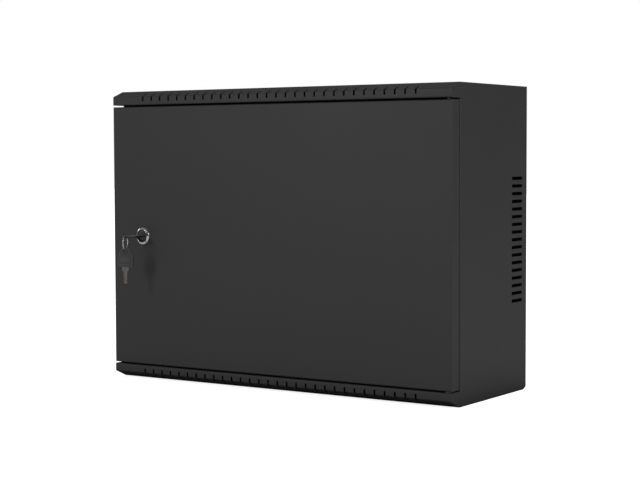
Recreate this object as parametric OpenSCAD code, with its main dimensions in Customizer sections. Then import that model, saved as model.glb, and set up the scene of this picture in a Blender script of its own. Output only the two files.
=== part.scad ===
// Low-profile wall-mounted 19-inch network cabinet: folded and welded sheet
// steel carcass, full-width lockable tray door on pin hinges, two
// depth-adjustable rack rails, keys left hanging in the lock.
//
// Frame: origin at the bottom centre of the rear (wall) face, +X to the right
// seen from the front, +Y into the wall, +Z up. The parts are drawn with y = 0
// on the front plane, so y is the depth behind it, and placed() moves them into
// the frame. Names ending in _d are depths, in _r radii.

/* [Cabinet] */
// Overall width of the cabinet
body_w = 540; // [536:1:580]
// Overall depth of the cabinet, front lip to wall face
body_d = 206; // [196:1:280]
// Overall height of the cabinet
body_h = 402; // [402:1:420]
// Thickness of the folded steel sheet
sheet = 1.2; // [1.0:0.1:1.5]
// Inner radius of every sheet-metal fold
bend_r = 0.7; // [0.5:0.1:1.2]

/* [Front frame] */
// Depth of the sloping band above and below the door
bevel_d = 21; // [20:0.5:24]
// Height lost by the top slope
bevel_top = 7.9; // [6:0.1:10]
// Height lost by the bottom slope
bevel_base = 9.4; // [6:0.1:10]
// Height of the vertical lip above the door
lip_top = 11.6; // [10.5:0.1:13]
// Height of the vertical lip below the door
lip_base = 10.6; // [9.5:0.1:12]
// Depth of the return fold behind each lip
lip_return = 14; // [12:0.5:16]

/* [Door] */
// Gap between the door and the top lip
gap_top = 2.4; // [2:0.1:4]
// Gap between the door and the bottom lip
gap_base = 2.0; // [2:0.1:4]
// Depth of the door tray
door_d = 19.8; // [18:0.1:20]
// Distance from the hinge axis to the outer side of the cabinet
hinge_in = 7.5; // [7.2:0.1:8]
// Depth of the hinge axis behind the front plane
hinge_d = 6.5; // [6.2:0.1:6.6]

/* [Lock and keys] */
// Distance from the door's free edge to the lock centre
lock_in = 52; // [48:0.5:55]
// Reach of the cam from the lock axis
cam_reach = 45; // [42:0.5:46]
// Radius of the split ring to the middle of its wire
ring_r = 10; // [10:0.1:10.2]
// Thickness of a moulded key head
head_t = 2.6; // [2.2:0.1:2.6]

/* [Vents] */
// Number of slots in each sloping band
front_slots = 30; // [20:1:32]
// Pitch of the front slots
front_pitch = 15; // [14.5:0.1:16]
// Sideways offset of each row of front slots
front_shift = 1.5; // [0:0.1:3]
// Width of a front slot
front_slot_w = 3; // [2:0.1:4]
// Number of slots in each side
side_slots = 17; // [5:1:20]
// Pitch of the side slots
side_pitch = 10.05; // [8:0.05:12]
// Height of a side slot
side_slot_h = 4.3; // [2:0.1:5]
// Length of a side slot
side_slot_l = 30; // [20:1:32]

/* [Rack] */
// Number of rack units between the rails
rack_units = 8; // [6:1:8]
// Depth of the rail face behind the front plane, rails fully forward
rail_d = 50; // [48:1:60]
// Hole-to-hole width of the rack pattern
rack_pitch_x = 465.1; // [465.1:0.1:465.1]
// Side of a square rail hole
rack_hole = 9.5; // [9.4:0.1:9.6]

/* [Wall fixing] */
// Horizontal distance between the wall holes
wall_x = 400; // [380:5:420]
// Vertical distance between the wall holes
wall_z = 300; // [280:5:320]
// Radius of a wall hole
wall_r = 4.5; // [4:0.25:5]

/* [Hidden] */
$fn = 48;

half_w = body_w / 2;
inner_w = half_w - sheet;             // half width between the side plates
mid_z = body_h / 2;
rear_d = body_d - sheet;              // inner face of the back panel
fold_r = bend_r + sheet;              // outer radius of a fold
top_lip_hi = body_h - bevel_top;
top_lip_lo = top_lip_hi - lip_top;
base_lip_lo = bevel_base;
base_lip_hi = base_lip_lo + lip_base;
door_hi = top_lip_lo - gap_top;
door_lo = base_lip_hi + gap_base;
side_fold_d = door_d + 1.5;           // front face of the side folds

hinge_x = half_w - hinge_in;
pin_r = 2.5;
pin_hole_r = pin_r + 0.05;

// earth studs: one on the back of the door, one on the floor
earth_door_x = 236;
earth_door_z = 45;
earth_body_x = 238;
earth_body_d = 36;
stud_r = 3;
stud_hole_r = stud_r + 0.05;

// colours shared by several parts
paint = [0.20, 0.20, 0.205];
bright_steel = [0.7, 0.7, 0.72];
hinge_steel = [0.62, 0.62, 0.64];
rail_steel = [0.72, 0.73, 0.74];
stud_metal = [0.6, 0.5, 0.35];
clip_steel = [0.6, 0.6, 0.62];
square_steel = [0.66, 0.66, 0.68];
key_metal = [0.5, 0.47, 0.42];
key_black = [0.04, 0.04, 0.04];

// ---- outlines --------------------------------------------------------------
arc_steps = 6;
function turned(vec, angle) =
    [vec[0] * cos(angle) - vec[1] * sin(angle), vec[0] * sin(angle) + vec[1] * cos(angle)];
function unit(vec) = vec / norm(vec);
function left_of(dir) = [-dir[1], dir[0]];
// signed angle from one direction to the next, positive to the left
function turn_of(first, next) =
    atan2(first[0] * next[1] - first[1] * next[0], first[0] * next[0] + first[1] * next[1]);
// arc that rounds a corner; scale draws it again about the same centre
function corner_arc(before, corner, after, radius, scale = 1) =
    let (dir = unit(corner - before),
         angle = turn_of(dir, unit(after - corner)),
         start = corner - dir * radius * tan(abs(angle) / 2),
         centre = start + left_of(dir) * (sign(angle) * radius))
    [for (i = [0:arc_steps]) centre + turned(start - centre, angle * i / arc_steps) * scale];
// one fold of a sheet; side 0 is the path, side 1 the sheet's other face
function fold_points(before, corner, after, thick, inner_r, side) =
    let (way = sign(turn_of(corner - before, after - corner)),
         path_r = way > 0 ? inner_r + thick : inner_r)
    corner_arc(before, corner, after, path_r, side == 0 ? 1 : (path_r - way * thick) / path_r);
function path_side(path, thick, inner_r, side) =
    let (last = len(path) - 1, shift = side * thick)
    [path[0] + left_of(unit(path[1] - path[0])) * shift,
     for (i = [1:last - 1])
         each fold_points(path[i - 1], path[i], path[i + 1], thick, inner_r, side),
     path[last] + left_of(unit(path[last] - path[last - 1])) * shift];
function reversed(list) = [for (i = [len(list) - 1:-1:0]) list[i]];
// outline of a folded strip whose sheet lies to the left of the path
function strip(path, thick = sheet, inner_r = bend_r) =
    concat(path_side(path, thick, inner_r, 0), reversed(path_side(path, thick, inner_r, 1)));
// closed outline with each corner rounded to its own radius
function rounded(outline, radii) = let (count = len(outline))
    [for (i = [0:count - 1])
        let (before = outline[(i + count - 1) % count], after = outline[(i + 1) % count])
        each (radii[i] == 0 ? [outline[i]] : corner_arc(before, outline[i], after, radii[i]))];
function rounded_rect(low, high, radii) =
    rounded([low, [high[0], low[1]], high, [low[0], high[1]]], radii);

// ---- placing and solids ----------------------------------------------------
module placed() translate([0, -body_d, 0]) children();
module mirrored_x() mirror([1, 0, 0]) children();
module flipped_z() translate([0, 0, body_h]) mirror([0, 0, 1]) children();
module both_sides() for (s = [0, 1]) mirror([s, 0, 0]) children();
module top_and_base() {
    children();
    flipped_z() children();
}

// extrusions of outlines drawn in (y, z), (x, z) and (x, y)
module extrude_x(from, to)
    translate([from, 0, 0]) rotate([90, 0, 90]) linear_extrude(to - from) children();
module extrude_y(from, to)
    translate([0, to, 0]) rotate([90, 0, 0]) linear_extrude(to - from) children();
module extrude_z(from, to)
    translate([0, 0, from]) linear_extrude(to - from) children();
module block(low, high) translate(low) cube(high - low);
module rod_x(from, to, y, z, radius)
    translate([from, y, z]) rotate([0, 90, 0]) cylinder(r = radius, h = to - from);
module rod_y(x, from, to, z, radius)
    translate([x, from, z]) rotate([-90, 0, 0]) cylinder(r = radius, h = to - from);
module rod_z(x, y, from, to, radius)
    translate([x, y, from]) cylinder(r = radius, h = to - from);

// hexagon nut with a round flange, standing on z = 0
module flanged_nut(flange_r, flange_h, hex_r, hex_z, hex_h, hole_r) difference() {
    union() {
        cylinder(r = flange_r, h = flange_h);
        translate([0, 0, hex_z]) cylinder(r = hex_r, h = hex_h, $fn = 6);
    }
    rod_z(0, 0, -1, hex_z + hex_h + 1, hole_r);
}
// cross recess sunk from z = 0 upwards
module cross_recess(reach, half_slot, height) {
    block([-reach, -half_slot, 0], [reach, half_slot, height]);
    block([-half_slot, -reach, 0], [half_slot, reach, height]);
}
// tube along a list of points
module tube_through(points, radius, sides) {
    last = len(points) - 1;
    tangents = [for (i = [0:last])
        let (span = points[min(i + 1, last)] - points[max(i - 1, 0)]) span / norm(span)];
    vertices = [for (i = [0:last])
        let (across = cross(tangents[i], [0.31, 0.22, 0.92]),
             normal = across / norm(across),
             binormal = cross(tangents[i], normal))
        for (j = [0:sides - 1])
            points[i] + radius * (cos(360 * j / sides) * normal + sin(360 * j / sides) * binormal)];
    faces = concat(
        [[for (j = [0:sides - 1]) j]],
        [[for (j = [sides - 1:-1:0]) last * sides + j]],
        [for (i = [0:last - 1], j = [0:sides - 1])
            let (here = i * sides + j, next = i * sides + (j + 1) % sides)
            each [[here, here + sides, next + sides], [here, next + sides, next]]]);
    polyhedron(vertices, faces, convexity = 4);
}

// ---- carcass ---------------------------------------------------------------
rear_flange = 14;                     // top and base panels, down the back and side plates
top_flange_w = 8;                     // strip of panel that carries each side flange
side_front_flange = 20;
side_rear_flange = 16;
rear_notch = 15;                      // side plate reaches the back only this near its ends
rear_fold_inset = 16;                 // rear fold of the side plate stops short of its ends
side_slot_d = rear_d - 41.8;
front_slot_above = 6.2;               // run of a slot onto the lower lip
front_slot_below = 6.6;               // run of a slot onto the upper lip

// panel profiles in (y, z)
top_profile = [[rear_d, body_h - rear_flange], [rear_d, body_h], [bevel_d, body_h],
    [0, top_lip_hi], [0, top_lip_lo], [lip_return, top_lip_lo]];
base_profile = [[lip_return, base_lip_hi], [0, base_lip_hi], [0, base_lip_lo],
    [bevel_d, 0], [rear_d, 0], [rear_d, rear_flange]];
// side flange profiles in (x, z)
top_side_flange = [[inner_w, body_h - rear_flange], [inner_w, body_h],
    [inner_w - top_flange_w, body_h]];
base_side_flange = [[inner_w - top_flange_w, 0], [inner_w, 0], [inner_w, rear_flange]];

// small cut across each rear bottom corner of the carcass
module rear_corner_cuts() both_sides() extrude_x(half_w - 30, half_w + 1)
    polygon([[body_d - 8, 0], [body_d - 10.4, -1], [body_d + 1, -1], [body_d + 1, 3.825]]);

// hole through each side plate at the upper front corner, and the band end behind it
module corner_relief() rod_x(half_w - 6, half_w + 3, 2.9, top_lip_hi - 0.7, 1.4);

module pin_hole(from, to) rod_z(hinge_x, hinge_d, from, to, pin_hole_r);

// row of narrow slots that run over the fold between lip and slope
module front_slot_cuts(from, to) for (i = [0:front_slots - 1]) {
    x = (i - (front_slots - 1) / 2) * front_pitch + front_shift;
    block([x - front_slot_w / 2, -1, from], [x + front_slot_w / 2, 10, to]);
}

// top or base panel; lip_from and lip_to bound the lip and slope in z
module shell_panel(profile, lip_from, lip_to, side_flange) {
    middle_w = inner_w - fold_r - 1;
    // middle of the panel, folded front to back
    extrude_x(-middle_w, middle_w) polygon(strip(profile));
    // front band runs out to the side plates
    intersection() {
        extrude_x(-inner_w, inner_w) polygon(strip(profile));
        block([-inner_w, -1, -1], [inner_w, bevel_d + 2, body_h + 1]);
    }
    // vertical lip covers the front edges of the side plates
    intersection() {
        extrude_x(-half_w, half_w) polygon(strip(profile));
        block([-half_w, -1, lip_from], [half_w, sheet, lip_to]);
        extrude_z(-1, body_h + 1)
            polygon(rounded_rect([-half_w, 0], [half_w, 8], [1.15, 1.15, 0, 0]));
    }
    // side flanges inside the side plates
    both_sides() extrude_y(bevel_d + 3, rear_d - 3) polygon(strip(side_flange));
}

module top_panel() color(paint) placed() difference() {
    shell_panel(top_profile, top_lip_lo, body_h, top_side_flange);
    front_slot_cuts(top_lip_hi - front_slot_below, body_h + 1);
    both_sides() corner_relief();
    entry_cut(body_h - 2, body_h + 1);
    pin_hole(top_lip_lo - 1, top_lip_lo + sheet + 1);
}

module base_panel() color(paint) placed() difference() {
    shell_panel(base_profile, 0, base_lip_hi, base_side_flange);
    front_slot_cuts(-1, base_lip_lo + front_slot_above);
    entry_cut(-1, 2);
    rear_corner_cuts();
    pin_hole(base_lip_hi - sheet - 1, base_lip_hi + 1);
    rod_z(earth_body_x, earth_body_d, -1, 2, stud_hole_r);
}

module side_panel() difference() {
    front_end_d = side_fold_d + fold_r;
    rear_end_d = rear_d - fold_r;
    union() {
        // plate, in (y, z)
        extrude_x(inner_w, half_w) polygon([
            [sheet, top_lip_lo], [sheet, top_lip_hi + bevel_top * sheet / bevel_d],
            [bevel_d, body_h], [rear_d, body_h],
            [rear_d, body_h - rear_notch], [rear_end_d, body_h - rear_notch],
            [rear_end_d, rear_notch], [rear_d, rear_notch],
            [rear_d, 0], [bevel_d, 0],
            [sheet, base_lip_lo - bevel_base * sheet / bevel_d], [sheet, base_lip_hi],
            [front_end_d, base_lip_hi], [front_end_d, top_lip_lo]]);
        // front fold beside the door opening
        extrude_z(base_lip_hi + 1, top_lip_lo - 1) polygon(strip([
            [half_w - side_front_flange, side_fold_d], [half_w, side_fold_d],
            [half_w, front_end_d + 0.5]]));
        // rear fold against the back panel
        extrude_z(rear_fold_inset, body_h - rear_fold_inset) polygon(strip([
            [half_w, rear_end_d - 0.5], [half_w, rear_d], [half_w - side_rear_flange, rear_d]]));
    }
    for (i = [0:side_slots - 1]) {
        z = mid_z + (i - (side_slots - 1) / 2) * side_pitch;
        block([inner_w - 1, side_slot_d, z - side_slot_h / 2],
            [half_w + 1, side_slot_d + side_slot_l, z + side_slot_h / 2]);
    }
    corner_relief();
    rear_corner_cuts();
}
module side_panel_right() color(paint) placed() side_panel();
module side_panel_left() color(paint) placed() mirrored_x() side_panel();

module back_panel() color(paint) placed() difference() {
    block([-half_w, rear_d, 0], [half_w, body_d, body_h]);
    for (x = [-1, 1], z = [-1, 1])
        rod_y(x * wall_x / 2, rear_d - 1, body_d + 1, mid_z + z * wall_z / 2, wall_r);
    rear_corner_cuts();
}

// ---- lock position ---------------------------------------------------------
lock_x = -half_w + lock_in;
lock_z = mid_z;
lock_body_r = 9.5;
lock_flat = 8;                        // lock axis to each flat of the body
lock_reach = 12;                      // half size of the blocks that cut the flats
lock_hole_gap = 0.1;
module at_lock() translate([lock_x, 0, lock_z]) children();

// ---- door ------------------------------------------------------------------
door_return = 11.2;                   // width of the inward fold at each side of the tray
// tray outline in plan (x, y) and in section (y, z)
door_plan = [[-half_w + door_return, door_d], [-half_w, door_d], [-half_w, 0],
    [half_w, 0], [half_w, door_d], [half_w - door_return, door_d]];
door_section = [[door_d, door_hi], [0, door_hi], [0, door_lo], [door_d, door_lo]];

module door_panel() color([0.21, 0.21, 0.215]) placed() difference() {
    intersection() {
        extrude_z(door_lo, door_hi) polygon(path_side(door_plan, sheet, bend_r, 0));
        extrude_x(-half_w, half_w) polygon(path_side(door_section, sheet, bend_r, 0));
    }
    // hollow of the tray, open to the rear
    intersection() {
        extrude_z(door_lo - 1, door_hi + 1)
            polygon(concat(path_side(door_plan, sheet, bend_r, 1),
                [[half_w - door_return, door_d + 2], [-half_w + door_return, door_d + 2]]));
        extrude_x(-half_w - 1, half_w + 1)
            polygon(concat(path_side(door_section, sheet, bend_r, 1),
                [[door_d + 3, door_lo + sheet], [door_d + 3, door_hi - sheet]]));
    }
    // double-D lock hole
    at_lock() intersection() {
        rod_y(0, -1, sheet + 1, 0, lock_body_r + lock_hole_gap);
        block([-lock_reach, -2, -lock_flat - lock_hole_gap],
            [lock_reach, sheet + 2, lock_flat + lock_hole_gap]);
    }
    pin_hole(door_hi - sheet - 1, door_hi + 1);
    pin_hole(door_lo - 1, door_lo + sheet + 1);
    // small blind hole behind the earth stud
    rod_y(earth_door_x, sheet - 0.6, sheet + 1, earth_door_z, 0.5);
}

// upright hat-shaped strip behind the middle of the door
module door_stiffener() color([0.22, 0.22, 0.225]) placed() extrude_z(door_lo + 8, door_hi - 8)
    polygon(strip([[-32, sheet], [-18, sheet], [-14, 12], [14, 12], [18, sheet], [32, sheet]],
        thick = 1, inner_r = 1));

// buttons on the front of the left side fold; profile is (radius, height)
module door_bumpers() color([0.06, 0.06, 0.06]) placed() for (z = [60, body_h - 60])
    translate([-half_w + 8.6, side_fold_d, z]) rotate([90, 0, 0])
        rotate_extrude() polygon([[0, 0], [3, 0], [3, 0.8], [2.2, 1.2], [0, 1.3]]);

// ---- hinges ----------------------------------------------------------------
pin_tip_r = 1.6;
pin_tip_h = 1.2;
base_pin_hi = door_lo + 9;            // start of the tip of each pin
top_pin_hi = top_lip_lo + 4;
collar_z = door_hi - 3.4;             // underside of the top pin's collar
bracket_z = door_hi - 29.8;           // underside of the spring bracket
bracket_sheet = 1.5;
spring_turns = 8;
spring_steps = spring_turns * 16;
spring_r = 3.2;
spring_wire = 0.42;
spring_end_gap = 0.55;                // wire centre to the face it bears on

module at_hinge() translate([hinge_x, hinge_d, 0]) children();
module pin_tip(z) translate([0, 0, z]) cylinder(r1 = pin_r, r2 = pin_tip_r, h = pin_tip_h);

module hinge_pin_base() color(hinge_steel) placed() at_hinge() {
    rod_z(0, 0, base_lip_hi - sheet - 1.8, base_lip_hi - sheet, 4.2);
    rod_z(0, 0, base_lip_hi - sheet - 1, base_pin_hi, pin_r);
    pin_tip(base_pin_hi);
}
module hinge_washer_base() color([0.05, 0.05, 0.05]) placed() difference() {
    rod_z(hinge_x, hinge_d, base_lip_hi, door_lo - 0.1, 4.1);
    pin_hole(base_lip_hi - 1, door_lo + 1);
}
// sprung pin with a collar above the spring and a cross bar at its foot
module hinge_pin_top() color(hinge_steel) placed() at_hinge() {
    rod_z(0, 0, door_hi - 38.8, top_pin_hi, pin_r);
    pin_tip(top_pin_hi);
    rod_z(0, 0, collar_z, door_hi - sheet - 0.2, 4);
    rod_x(-17, 0, 0, door_hi - 36.6, 1.9);
}
module hinge_bracket_top() color(hinge_steel) placed() difference() {
    extrude_y(2.2, 13.4) polygon(strip(
        [[hinge_x - 6.5, bracket_z], [inner_w, bracket_z], [inner_w, door_hi - 4]],
        thick = bracket_sheet, inner_r = 0.7));
    pin_hole(door_hi - 40, door_hi - 20);
}
module hinge_spring() color(bright_steel) placed() at_hinge() {
    low_z = bracket_z + bracket_sheet + spring_end_gap;
    high_z = collar_z - spring_end_gap;
    tube_through([for (i = [0:spring_steps])
        let (angle = 360 * spring_turns * i / spring_steps)
        [spring_r * cos(angle), spring_r * sin(angle), low_z + (high_z - low_z) * i / spring_steps]],
        spring_wire, sides = 6);
}

// ---- lock ------------------------------------------------------------------
cam_d = side_fold_d + sheet + 0.8;    // front face of the cam
cam_t = 2;
plug_r = 6;
plug_square = 3;                      // half side of the square that drives the cam
cam_screw_r = 2;
lock_gap = 0.05;                      // play between the parts of the lock

// revolved profile: radius, height in front of the door face
lock_profile = [[plug_r + lock_gap, -(cam_d - 2.2)], [lock_body_r, -(cam_d - 2.2)],
    [lock_body_r, 0], [11.8, 0], [11.8, 1.1], [11.1, 2.3], [9.4, 2.7], [8.6, 2.5],
    [7.7, 1.1], [plug_r + lock_gap, 0.8]];
// cam outline in (x, z) about the lock axis
cam_outline = [[-8.5, 8.5], [-8.5, -12], [-6.5, -cam_reach], [6.5, -cam_reach],
    [8.5, -12], [8.5, 8.5]];

module lock_body() color([0.75, 0.75, 0.76]) placed() at_lock() difference() {
    rotate([90, 0, 0]) rotate_extrude($fn = 64) polygon(lock_profile);
    for (z = [lock_flat, -lock_reach])
        block([-lock_reach, 0, z], [lock_reach, cam_d, z + lock_reach - lock_flat]);
}
module lock_nut() color(bright_steel) placed() at_lock() difference() {
    translate([0, sheet + 4, 0]) rotate([90, 0, 0]) cylinder(r = 13.8, h = 4, $fn = 6);
    rod_y(0, 0, 10, 0, lock_body_r + lock_gap);
}
module lock_plug() color([0.3, 0.3, 0.31]) placed() at_lock() difference() {
    union() {
        rod_y(0, -0.5, cam_d - 1.5, 0, plug_r);
        rod_y(0, cam_d - 2.15, cam_d - 0.05, 0, 8);
        block([-plug_square, cam_d - 1, -plug_square],
            [plug_square, cam_d + cam_t + 0.1, plug_square]);
    }
    // keyway
    block([-2.95, -2, -1.15], [2.95, 14, 1.15]);
    rod_y(0, cam_d - 6, cam_d + 3, 0, cam_screw_r + lock_gap);
}
module lock_cam() color(bright_steel) placed() at_lock() difference() {
    hole = plug_square + lock_gap;
    extrude_y(cam_d, cam_d + cam_t) polygon(rounded(cam_outline, [6, 3, 3, 3, 3, 6]));
    block([-hole, cam_d - 1, -hole], [hole, cam_d + 3, hole]);
}
module lock_cam_screw() color(bright_steel) placed() at_lock() difference() {
    union() {
        rod_y(0, cam_d - 5, cam_d + 2.6, 0, cam_screw_r);
        rod_y(0, cam_d + 2.15, cam_d + 4.3, 0, 4.3);
    }
    translate([0, cam_d + 3.3, 0]) rotate([-90, 0, 0])
        cross_recess(reach = 3, half_slot = 0.5, height = 2.7);
}

// ---- keys ------------------------------------------------------------------
// a key drawn flat: x across, y from the end of the head (0) towards the tip (-48.4)
key_hole_y = -5.5;
key_hole_r = 3.9;
blade_t = 1.9;
head_outline = rounded([[4.5, 0], [-4.5, 0], [-11, -9], [-11, -25.5], [11, -25.5], [11, -9]],
    [4, 4, 4, 2, 2, 4]);
blade_outline = rounded(
    [[-4.6, -25], [-4.6, -30.4], [-2.7, -32], [-2.7, -46.7], [-1.3, -48.4],
     [1.3, -48.4], [2.7, -46.7], [2.7, -32], [4.6, -30.4], [4.6, -25]],
    [0, 0.8, 0, 0.8, 0.4, 0.4, 0.8, 0, 0.8, 0]);
// bitting: edge (1 right, -1 left), y, depth of the notch
bitting = [[1, -37.4, 0.9], [1, -40.6, 0.5], [1, -44, 1],
    [-1, -38.8, 0.6], [-1, -42.4, 1], [-1, -45.8, 0.6]];

module key_head_shape() difference() {
    translate([0, 0, -head_t / 2]) linear_extrude(head_t) difference() {
        polygon(head_outline);
        translate([0, key_hole_y]) circle(r = key_hole_r);
    }
    // pocket for the blade
    translate([-4.7, -25.6, -1]) cube([9.4, 12.2, 2]);
}
module key_blade_shape() difference() {
    union() {
        translate([-4.6, -25.4, -blade_t / 2]) cube([9.2, 11.8, blade_t]);
        translate([0, 0, -blade_t / 2]) linear_extrude(blade_t) polygon(blade_outline);
    }
    // milled groove along each face
    translate([-1.7, -52, 0.45]) cube([1.2, 20, 2]);
    translate([0.5, -52, -2.45]) cube([1.2, 20, 2]);
    for (notch = bitting) {
        side = notch[2] * 1.414;
        translate([notch[0] * 2.7, notch[1], 0]) rotate([0, 0, 45])
            cube([side, side, 4], center = true);
    }
}

// inserted key: lies flat, head towards the room
key_out = 38;                         // end of the head, in front of the front plane
module inserted_pose() placed() translate([lock_x, -key_out, lock_z])
    rotate([0, 0, 180]) children();
module key_blade() color(key_metal) inserted_pose() key_blade_shape();
module key_head() color(key_black) inserted_pose() key_head_shape();

// the ring passes through the head's hole, round the end of the head, and hangs upright
ring_wire = 0.7;
ring_drop = 7.7;
ring_yaw = -67.5;                     // heading of the ring's plane in the horizontal
ring_centre = [lock_x + 0.65, -key_out + 0.08, lock_z - ring_drop];
module split_ring() color([0.55, 0.55, 0.56]) placed() translate(ring_centre)
    rotate([0, 0, ring_yaw]) rotate([90, 0, 0]) rotate_extrude($fn = 96)
        translate([ring_r, 0]) circle(r = ring_wire, $fn = 24);

// spare key: hangs from the bottom of the ring, turned square to the ring's plane
spare_z = ring_centre[2] - ring_r + ring_wire + 0.16 - key_hole_r - key_hole_y;
module spare_pose() placed() translate([ring_centre[0], ring_centre[1], spare_z])
    rotate([0, 0, ring_yaw]) rotate([90, 0, 90]) children();
module spare_key_blade() color(key_metal) spare_pose() key_blade_shape();
module spare_key_head() color(key_black) spare_pose() key_head_shape();

// ---- rack rails ------------------------------------------------------------
rack_unit = 44.45;
unit_steps = [6.35, 22.225, 38.1];    // hole heights in one rack unit
rail_t = 1.5;
rail_bend_r = 0.8;
rail_in = 225;                        // inner and outer x of the rail face
rail_out = 250;
rail_h = rack_units * rack_unit;
rail_z = mid_z - rail_h / 2;
rail_bolt_d = rail_d + 15;
rail_bolt_r = 3;
rail_travel = 80;
bar_t = 1.5;
bar_z = 70;                           // web height of the lower depth bars
bar_x = rail_out + 1.6;               // inner face of the depth bars
bar_leg = 24;
slot_z = bar_z + 14;
stud_z = bar_z - 14;
weld_stud_r = 2.5;
weld_stud_depths = [45, rear_d - 24];

module rail_shape() difference() {
    extrude_z(rail_z, rail_z + rail_h) polygon(strip(
        [[rail_in, rail_d + 13], [rail_in, rail_d], [rail_out, rail_d], [rail_out, rail_d + 30]],
        rail_t, rail_bend_r));
    for (i = [0:rack_units - 1], step = unit_steps)
        translate([rack_pitch_x / 2, rail_d, rail_z + i * rack_unit + step])
            block([-rack_hole / 2, -1, -rack_hole / 2], [rack_hole / 2, 3, rack_hole / 2]);
    for (z = [slot_z, body_h - slot_z]) rod_x(rail_out - 5, rail_out + 1, rail_bolt_d, z, 3.2);
}
module rack_rail_right() color(rail_steel) placed() rail_shape();
module rack_rail_left() color(rail_steel) placed() mirrored_x() rail_shape();

// Z-section bar from the side plate to the rail, running front to back
module depth_bar() difference() {
    extrude_y(30, rear_d - 8) polygon(strip(
        [[inner_w, bar_z - bar_leg], [inner_w, bar_z], [bar_x, bar_z], [bar_x, bar_z + bar_leg]],
        bar_t, rail_bend_r));
    // long slot for the rail bolt
    extrude_x(rail_out - 1, rail_out + 3) polygon(rounded_rect(
        [rail_bolt_d - 3.4, slot_z - 3.3], [rail_bolt_d + rail_travel + 3.4, slot_z + 3.3],
        [3.29, 3.29, 3.29, 3.29]));
    for (y = weld_stud_depths) rod_x(inner_w - 4, half_w, y, stud_z, weld_stud_r + 0.2);
}
module four_corners() both_sides() top_and_base() children();
module depth_bars() color(rail_steel) placed() four_corners() depth_bar();
module weld_studs() color(stud_metal) placed() four_corners() for (y = weld_stud_depths)
    rod_x(inner_w - 11, inner_w, y, stud_z, weld_stud_r);
module bar_nuts() color(bright_steel) placed() four_corners() for (y = weld_stud_depths)
    translate([inner_w - bar_t, y, stud_z]) rotate([0, -90, 0])
        flanged_nut(flange_r = 5.6, flange_h = 1, hex_r = 4.6, hex_z = 0, hex_h = 4.5,
            hole_r = weld_stud_r + 0.05);

module rail_bolts() top_and_base() {
    rail_inner = rail_out - rail_t;
    rod_x(rail_inner - 2.6, rail_inner, rail_bolt_d, slot_z, 6);
    rod_x(rail_inner - 1, rail_out + 11, rail_bolt_d, slot_z, rail_bolt_r);
}
module rail_nuts() top_and_base()
    translate([rail_out + 1.75, rail_bolt_d, slot_z]) rotate([0, 90, 0])
        flanged_nut(flange_r = 6.8, flange_h = 1.45, hex_r = 5.8, hex_z = 1.25, hex_h = 5.2,
            hole_r = rail_bolt_r + 0.05);
module rail_bolts_right() color(bright_steel) placed() rail_bolts();
module rail_nuts_right() color(bright_steel) placed() rail_nuts();
module rail_bolts_left() color(bright_steel) placed() mirrored_x() rail_bolts();
module rail_nuts_left() color(bright_steel) placed() mirrored_x() rail_nuts();

// ---- cage nuts -------------------------------------------------------------
// a clip in the square hole and a loose square nut inside it, drawn about the
// hole's centre on the rail face
cage_heights = [rail_z + unit_steps[0], rail_z + unit_steps[2],
    rail_z + rail_h - unit_steps[2], rail_z + rail_h - unit_steps[0]];
// side is 1 for the right rail, -1 for the left
module at_cage_holes(side) for (z = cage_heights)
    translate([side * rack_pitch_x / 2, rail_d, z]) children();
module cage_clip() difference() {
    union() {
        block([-4.6, 0.2, -4.6], [4.6, 3, 4.6]);
        block([-5.1, rail_t + 0.05, -6.3], [5.1, 3, 6.3]);
        block([-5.9, 2.5, -6.3], [5.9, 7.4, 6.3]);
    }
    block([-5.3, 2.9, -7], [5.3, 6.8, 7]);
    rod_y(0, -1, 9, 0, 3.9);
}
module cage_square() difference() {
    block([-5.1, 3, -5.1], [5.1, 6.7, 5.1]);
    rod_y(0, 0, 9, 0, 3);
}
module cage_nut_clips_right() color(clip_steel) placed() at_cage_holes(1) cage_clip();
module cage_nut_squares_right() color(square_steel) placed() at_cage_holes(1) cage_square();
module cage_nut_clips_left() color(clip_steel) placed() at_cage_holes(-1) cage_clip();
module cage_nut_squares_left() color(square_steel) placed() at_cage_holes(-1) cage_square();

// ---- cable entries ---------------------------------------------------------
entry_x = 110;                        // half width of each opening
entry_front_d = body_d - 76;
entry_rear_d = body_d - 26;
entry_head_z = 2 * sheet;             // seat of the screw heads, above panel and cover

module at_entry_screws() for (x = [-1, 1], y = [entry_front_d - 5, entry_rear_d + 5])
    translate([x * (entry_x - 8), y, 0]) children();
// opening and its screw holes
module entry_cut(from, to) {
    extrude_z(from, to) polygon(rounded_rect(
        [-entry_x, entry_front_d], [entry_x, entry_rear_d], [4, 4, 4, 4]));
    at_entry_screws() rod_z(0, 0, from, to, 2.05);
}
module entry_cover(base_z) difference() {
    extrude_z(base_z, base_z + sheet) polygon(rounded_rect(
        [-entry_x - 10, entry_front_d - 12], [entry_x + 10, entry_rear_d + 12], [3, 3, 3, 3]));
    at_entry_screws() rod_z(0, 0, base_z - 1, base_z + sheet + 1, 2.2);
}
module entry_screw() {
    rod_z(0, 0, 0.1, entry_head_z + 1, 2);
    difference() {
        rod_z(0, 0, entry_head_z, entry_head_z + 2.3, 3.8);
        translate([0, 0, entry_head_z + 1.1])
            cross_recess(reach = 2.4, half_slot = 0.45, height = 1.9);
    }
}
module entry_cover_top() color(paint) placed() entry_cover(body_h - 2 * sheet);
module entry_cover_base() color(paint) placed() entry_cover(sheet);
module entry_screws() color(bright_steel) placed() top_and_base() at_entry_screws() entry_screw();

// ---- earth bonding ---------------------------------------------------------
earth_stud_end = 15;
earth_nut_z = sheet + 2.6;
wire_r = 1.4;
wire_steps = 24;
wire_lift = sheet + 1.5;
wire_inset = 14;                      // stud axis to the end of the wire

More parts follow.
